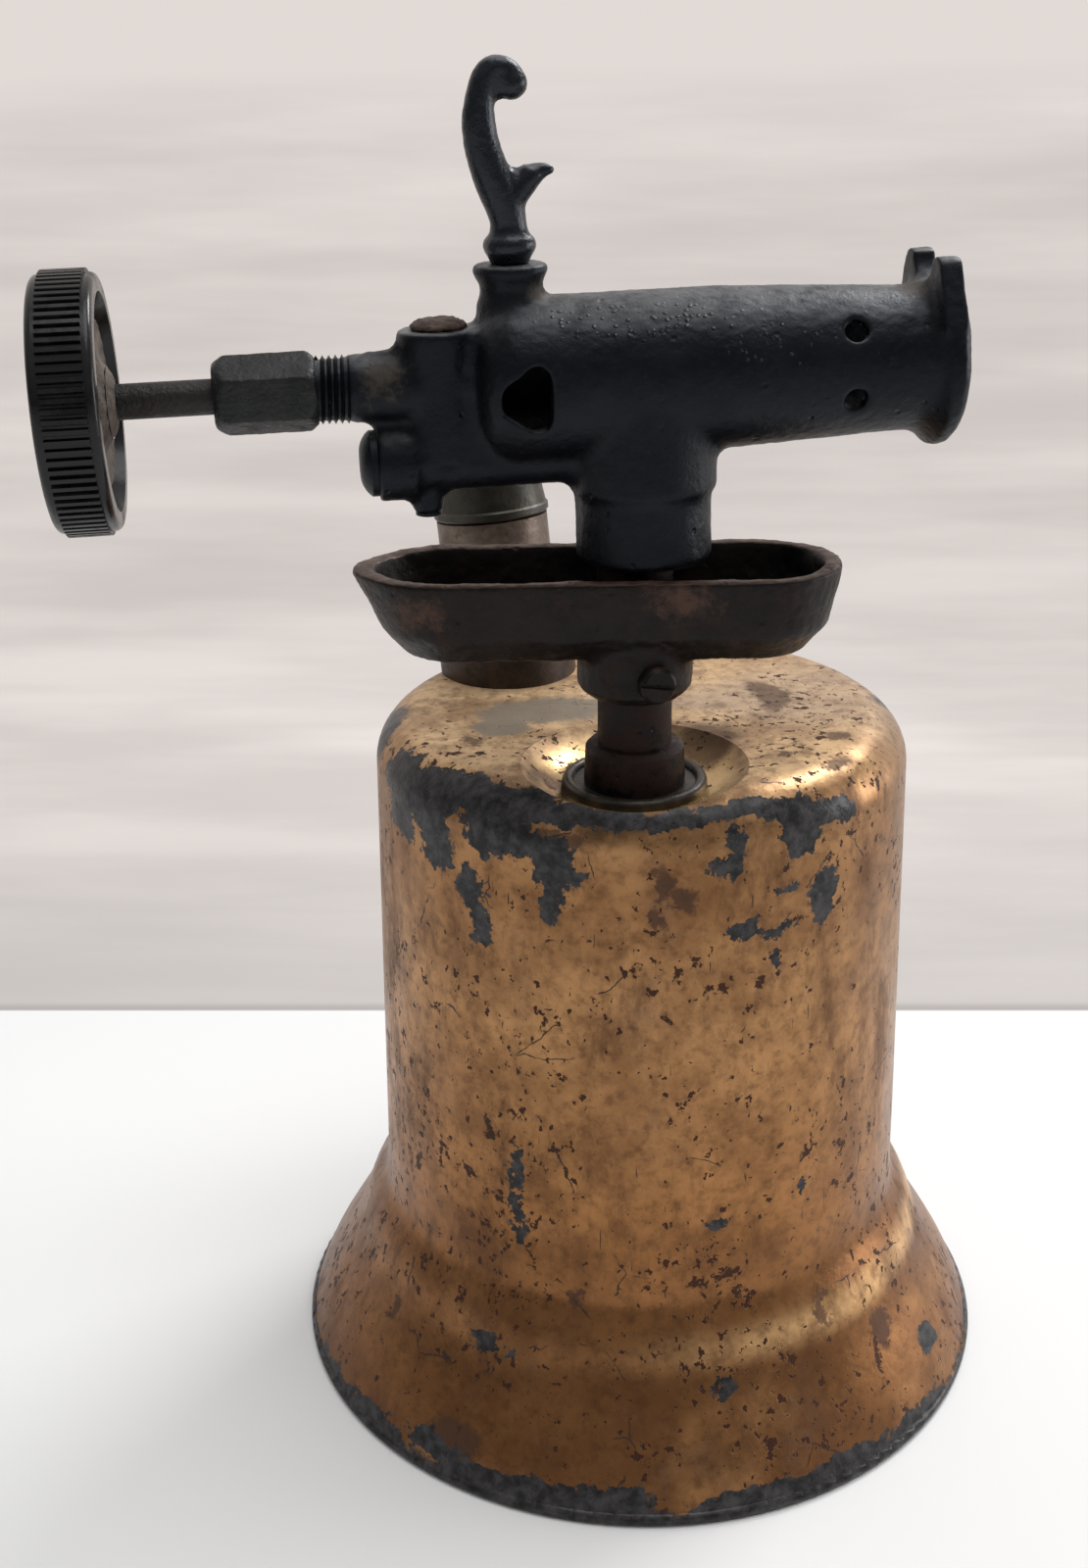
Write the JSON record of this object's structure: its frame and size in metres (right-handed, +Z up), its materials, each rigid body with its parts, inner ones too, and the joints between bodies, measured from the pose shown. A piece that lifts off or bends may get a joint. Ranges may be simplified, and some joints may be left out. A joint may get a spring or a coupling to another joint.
{
  "type": "gasoline blowtorch",
  "caption": "Vintage gasoline blowtorch: bell-shaped painted tank, cast-iron burner with priming cup and iron rest on a riser, ribbed valve knob and a leaning hand pump.",
  "frame": {"origin": "on the table under the axis of the tank, in the plane of the base rim", "axes": "+X along the burner towards its mouth, +Y towards the pump side at the back, +Z up"},
  "size_m": [0.1827, 0.151, 0.2689],
  "materials": {
    "gold_paint": "worn bronze-gold paint on steel, scratched and flaked at the shoulder and rim",
    "black_iron": "blackened, pitted casting with rust on the cup",
    "dark_steel": "darkened, dull",
    "rusty_steel": "rusty brown",
    "bakelite": "glossy black",
    "dull_brass": "tarnished tan",
    "ball_steel": "polished",
    "leather": "oiled",
    "packing_cord": "graphited",
    "gasket": "matt fibre"
  },
  "bodies": {
    "torch": {"tank_shell": "gold_paint", "tank_bottom": "gold_paint", "priming_cup": "black_iron", "burner_body": "black_iron", "soldering_hook": "black_iron", "riser_tube": "black_iron", "riser_collar": "black_iron", "packing_nut": "dark_steel", "cup_set_screw": "dark_steel", "bottom_plug": "dark_steel", "end_plug": "dark_steel", "top_plug": "rusty_steel", "pump_flange": "dull_brass", "pump_barrel": "dull_brass", "pump_guide": "dull_brass", "riser_bushing": "dull_brass", "filler_bush": "dull_brass", "feed_tube": "dull_brass", "jet": "dull_brass", "packing_follower": "dull_brass", "check_valve_body": "dull_brass", "check_valve_cap": "dull_brass", "valve_packing": "packing_cord"},
    "valve": {"valve_stem": "dark_steel", "control_knob": "bakelite", "knob_hub_plate": "rusty_steel", "knob_screw": "rusty_steel"},
    "plunger": {"plunger_cap": "dull_brass", "plunger_rod": "dark_steel", "plunger_washer": "dark_steel", "plunger_leather": "leather", "plunger_nut": "dark_steel"},
    "check_ball": {"check_valve_ball": "ball_steel"},
    "filler": {"filler_plug": "dull_brass", "filler_gasket": "gasket"}
  },
  "joints": [
    {"name": "valve_turn", "type": "hinge", "parent": "torch", "child": "valve", "pos_m": [-0.0068, -0.0311, 0.2172], "axis": [0.9998, 0, 0.0175], "range_deg": [0, 720]},
    {"name": "pump_stroke", "type": "slide", "parent": "torch", "child": "plunger", "axis": [-0.0744, 0.0992, 0.9923], "range_m": [0, 0.085]},
    {"name": "check_ball_lift", "type": "slide", "parent": "torch", "child": "check_ball", "axis": [-0.0744, 0.0992, 0.9923], "range_m": [0, 0.0009]},
    {"name": "filler_turn", "type": "hinge", "parent": "torch", "child": "filler", "pos_m": [0, 0, 0.012], "axis": [0, 0, 1], "range_deg": [0, 720]}
  ]
}
